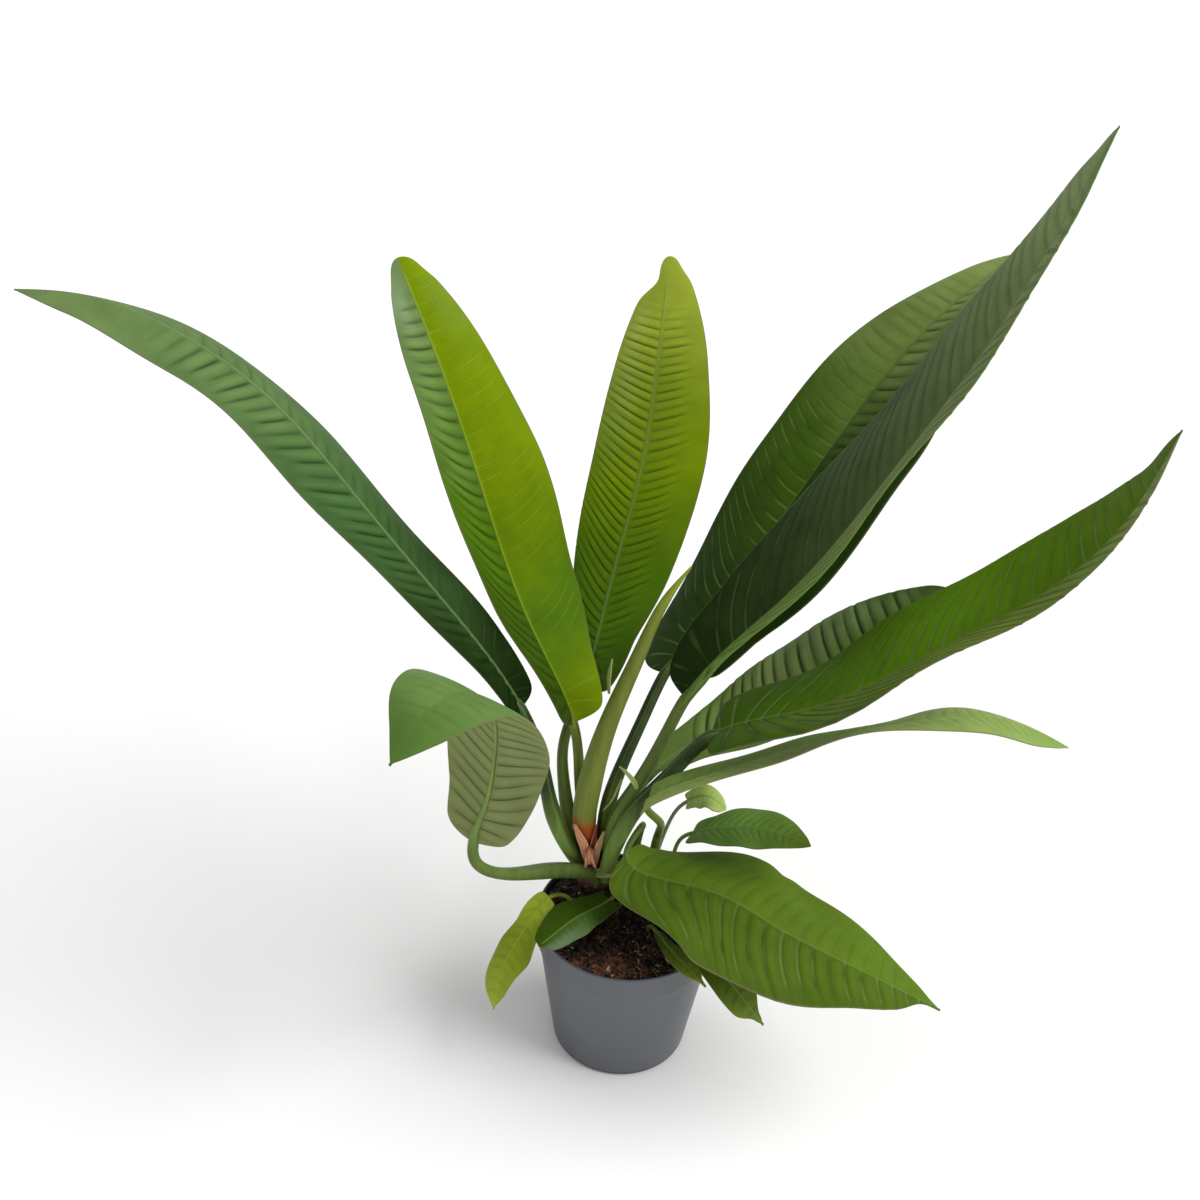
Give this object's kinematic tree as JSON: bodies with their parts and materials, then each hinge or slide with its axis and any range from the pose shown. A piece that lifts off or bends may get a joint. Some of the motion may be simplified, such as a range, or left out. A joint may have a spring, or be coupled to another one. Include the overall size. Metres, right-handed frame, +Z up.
{
  "type": "potted philodendron",
  "caption": "House plant with long, ribbed, pointed green leaves on thick stalks, rising from a short crown in a round, tapered grey nursery pot filled with dark soil.",
  "frame": {"origin": "middle of the pot's flat underside", "axes": "+Z is up, out of the pot's mouth; +X runs to the right and -Y towards the viewer of the picture"},
  "size_m": [0.6336, 0.398, 0.6243],
  "materials": {
    "pot_plastic": "satin",
    "soil": "matte",
    "crown": "matte",
    "rolled_leaf": "satin",
    "dry_scale": "matte",
    "leaf": "satin",
    "young_leaf": "satin"
  },
  "bodies": {
    "root": {"pot": "pot_plastic", "soil": "soil", "crown": "crown", "leaf_new_rolled": "rolled_leaf", "crown_scale_left": "dry_scale", "crown_scale_right": "dry_scale", "leaf_far_left": "leaf", "leaf_back_left": "leaf", "leaf_back": "leaf", "leaf_back_right": "leaf", "leaf_tall_right": "leaf", "leaf_mid_right_rear": "leaf", "leaf_mid_right_front": "leaf", "leaf_low_right": "leaf", "leaf_front_right": "leaf", "leaf_front_left_curled": "leaf", "leaf_small_right": "leaf", "leaf_small_back": "young_leaf", "leaf_small_front_left": "young_leaf", "leaf_small_front": "leaf", "leaf_small_low_right": "leaf", "leaf_small_low_front": "leaf"}
  },
  "joints": []
}
